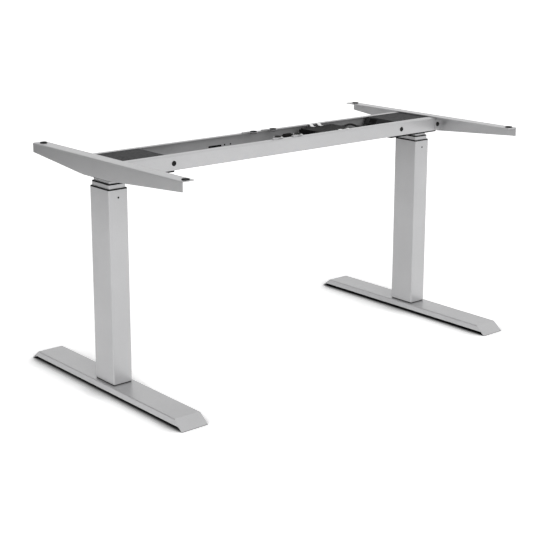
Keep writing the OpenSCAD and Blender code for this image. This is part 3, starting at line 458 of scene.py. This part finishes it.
LEFT_ROUTE = (
    (133, 20, 592), (126, 20, 592), (112, 20, 597), (98, 20, 600), (84, 20, 600.5),
    (38, 20, 600.5), (26, 19, 598), (14, 14, 592), (4, 4, 585.5), (-8, -9, 581.2),
    (-26, -23, 580.5), (-56, -33, 580.5), (-110, -38, 580.5), (-185, -41, 580.5),
    (-206, -42, 582.9), (-230, -43, 582.9), (-290, -44, 582.9), (-352, -44, 582.9),
    (-366, -42, 582.9), (-375, -34, 582.9), (-375, -24, 582.9), (-366, -16, 582.9),
    (-352, -14, 582.9), (-310, -14, 582.9), (-262, -14, 582.9), (-248, -11, 582.9),
    (-240, -3, 582.9), (-240, 7, 582.9), (-248, 15, 582.9), (-262, 18, 582.9),
    (-310, 18, 582.9), (-340, 16, 583), (-356, 10, 584.5), (-366, 0, 588.5),
    (-373, -13, 592.5), (-379, -25, 595), (-386, -30.5, 595.4), (-393.4, -30.5, 595.4),
)
# Ribbed boots, as pairs of place and radius: where a lead enters its plug, measured back
# from its end, and where it leaves the control box
PLUG_BOOT = ((8.0, 3.5), (7.8, 4.6), (6.4, 4.6), (6.2, 3.7), (5.2, 3.7), (5.0, 4.7),
             (3.6, 4.7), (3.4, 3.8), (2.4, 3.8), (2.2, 5.0), (0.0, 5.0))
GLAND_BOOT = ((-1.0, 4.9), (0.8, 4.9), (1.0, 4.2), (1.8, 4.2), (2.0, 4.6), (3.2, 4.6),
              (3.4, 3.9), (4.2, 3.9), (4.4, 4.2), (5.6, 3.4))
# In-line coupling on the left lead: two halves with a seam and a locking collar
COUPLING_AXIS = (0, 20, 600.5)
COUPLING = ((44, 3.4), (44.2, 4.8), (46.5, 5.6), (48, 6.9), (49, 7.4), (57.5, 7.5),
            (58, 6.9), (58.8, 6.9), (59.3, 7.5), (64, 7.5), (64.3, 7.1), (65, 7.1),
            (65.3, 7.5), (67, 7.5), (67.3, 7.1), (68, 7.1), (68.3, 7.5), (72, 7.4),
            (73.5, 6.9), (75.5, 5.6), (77.8, 4.8), (78, 3.4))
COUPLING_SIDES = 28


def smooth_path(points, steps):
    """Smooth curve through the points; its knots follow the root of the spacing."""
    path = []
    padded = [2 * points[0] - points[1], *points, 2 * points[-1] - points[-2]]
    for a, b, c, d in zip(padded, padded[1:], padded[2:], padded[3:]):
        ab, bc, cd = (math.sqrt((q - p).length) for p, q in ((a, b), (b, c), (c, d)))
        start = (b - a) / ab - (c - a) / (ab + bc) + (c - b) / bc
        end = (c - b) / bc - (d - b) / (bc + cd) + (d - c) / cd
        start, end = start * bc, end * bc
        for i in range(steps):
            t = i / steps
            path.append(b * (2 * t**3 - 3 * t**2 + 1) + start * (t**3 - 2 * t**2 + t)
                        + c * (3 * t**2 - 2 * t**3) + end * (t**3 - t**2))
    path.append(points[-1])
    return path


def tube_mesh(name, path, radii, sides):
    """Closed tube along a path, with one radius for each of its points."""
    heading = (path[1] - path[0]).normalized()
    side = heading.orthogonal().normalized()
    turn = 2 * math.pi / sides
    rings = []
    for i, (point, radius) in enumerate(zip(path, radii)):
        ahead = (path[min(i + 1, len(path) - 1)] - path[max(i - 1, 0)]).normalized()
        side = (heading.rotation_difference(ahead) @ side).normalized()
        heading = ahead
        other = heading.cross(side)
        rings.append([point + radius * (math.cos(turn * k) * side
                                        + math.sin(turn * k) * other)
                      for k in range(sides)])
    return ring_mesh(name, rings)


def turned_mesh(name, start, along, profile, sides=LEAD_SIDES):
    """Closed round shape on a straight axis, from pairs of place and radius."""
    path = [start + along * place * MM for place, _ in profile]
    return tube_mesh(name, path, [radius * MM for _, radius in profile], sides)


def make_leads():
    for side, route in zip(SIDES, (LEFT_ROUTE, RIGHT_ROUTE)):
        path = smooth_path([rail_point(p) for p in route], LEAD_STEPS)
        mesh = tube_mesh(side + "_lead", path, [LEAD_R * MM] * len(path), LEAD_SIDES)
        lead = new_piece(side + "_lead", mesh, "lead_sheath", None)
        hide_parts(side + "_motor_lead")
        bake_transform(lead)
        back = (path[-2] - path[-1]).normalized()
        mesh = turned_mesh(side + "_plug_boot", path[-1], back, PLUG_BOOT)
        new_piece(side + "_plug_boot", mesh, "lead_sheath", side + "_top")
        away = (path[1] - path[0]).normalized()
        mesh = turned_mesh(side + "_gland_boot", path[0], away, GLAND_BOOT)
        new_piece(side + "_gland_boot", mesh, "lead_sheath", "beam")
    mesh = turned_mesh("lead_coupling", rail_point(COUPLING_AXIS), Vector((1, 0, 0)),
                       COUPLING, COUPLING_SIDES)
    new_piece("lead_coupling", mesh, "black_plastic", "beam")


# Feet: the CAD sheets, with the side flanges trimmed up to where the photograph shows
# them. The flaps' inner faces slope, so the trimmed corners move along that slope.
FLANGE_EDGE = 5.0
FLANGE_TRIM = 4.2
FLANGE_IN = 36.4
FLAP_RUN, FLAP_DROP = 31.5, 24.5
FLAP_SHIFT = FLANGE_TRIM * FLAP_RUN / FLAP_DROP
EDGE_REACH = 0.05


def make_feet():
    for side in SIDES:
        mesh = NODES[side + "_foot"].data.copy()
        mesh.materials.clear()
        low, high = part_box(side + "_foot")
        middle = 0.5 * (low + high)
        for vertex in mesh.vertices:
            x, y, _ = (vertex.co - middle) / MM
            if abs(x) > FLANGE_IN and abs(vertex.co.z / MM - FLANGE_EDGE) < EDGE_REACH:
                vertex.co.z += FLANGE_TRIM * MM
                vertex.co.y -= math.copysign(FLAP_SHIFT * MM, y)
        foot = new_piece(side + "_foot_sheet", mesh, "frame_paint", side + "_base")
        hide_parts(side + "_foot")


# Black fills in the pads' rubber look that close the slot and the two holes in the rail's
# rear wall: painted shade, dark pieces that stand in for the shade in these openings
WALL_IN, WALL_OUT = 78.0, 80.0
SHADE_FILL_PROUD = 0.35
SHADE_FILL_SIDES = 24
# Each ring of a fill, from the outside in: place through the wall and share of the opening's
# size.
# The rim is bevelled outside and dished inside.
SHADE_FILL_ROWS = (
    (WALL_OUT + SHADE_FILL_PROUD, 0.8), (WALL_OUT + SHADE_FILL_PROUD, 1.0), (WALL_OUT, 1.0),
    (WALL_IN, 1.0), (WALL_IN - SHADE_FILL_PROUD, 1.0), (WALL_IN - SHADE_FILL_PROUD, 0.72),
    (WALL_IN + SHADE_FILL_PROUD, 0.62),
)
HOLE_D = 4.8
# Each opening: place along the rail, height, length and width
OPENINGS = {
    "slot_shade_fill": (-153.0, 587.0, 45.8, 5.3),
    "hole_shade_fill_1": (-119.0, 588.0, HOLE_D, HOLE_D),
    "hole_shade_fill_2": (-98.0, 588.0, HOLE_D, HOLE_D),
}


def make_shade_fills():
    for name, (x, z, length, width) in OPENINGS.items():
        radius = 0.5 * width
        half = 0.5 * length - radius
        rings = []
        for y, share in SHADE_FILL_ROWS:
            ring = []
            for k in range(SHADE_FILL_SIDES):
                angle = 2 * math.pi * (k + 0.5) / SHADE_FILL_SIDES
                end = half if math.cos(angle) > 0 else -half
                ring.append(rail_point((x + end + share * radius * math.cos(angle), y,
                                        z + share * radius * math.sin(angle))))
            rings.append(ring)
        # Painted shade: each opening is filled with the pads' black rubber look
        new_piece(name, ring_mesh(name, rings), "pad_rubber", "beam")


make_camera()
make_light()
make_floor()
make_cards()
dress_nodes()
make_leads()
make_feet()
make_shade_fills()
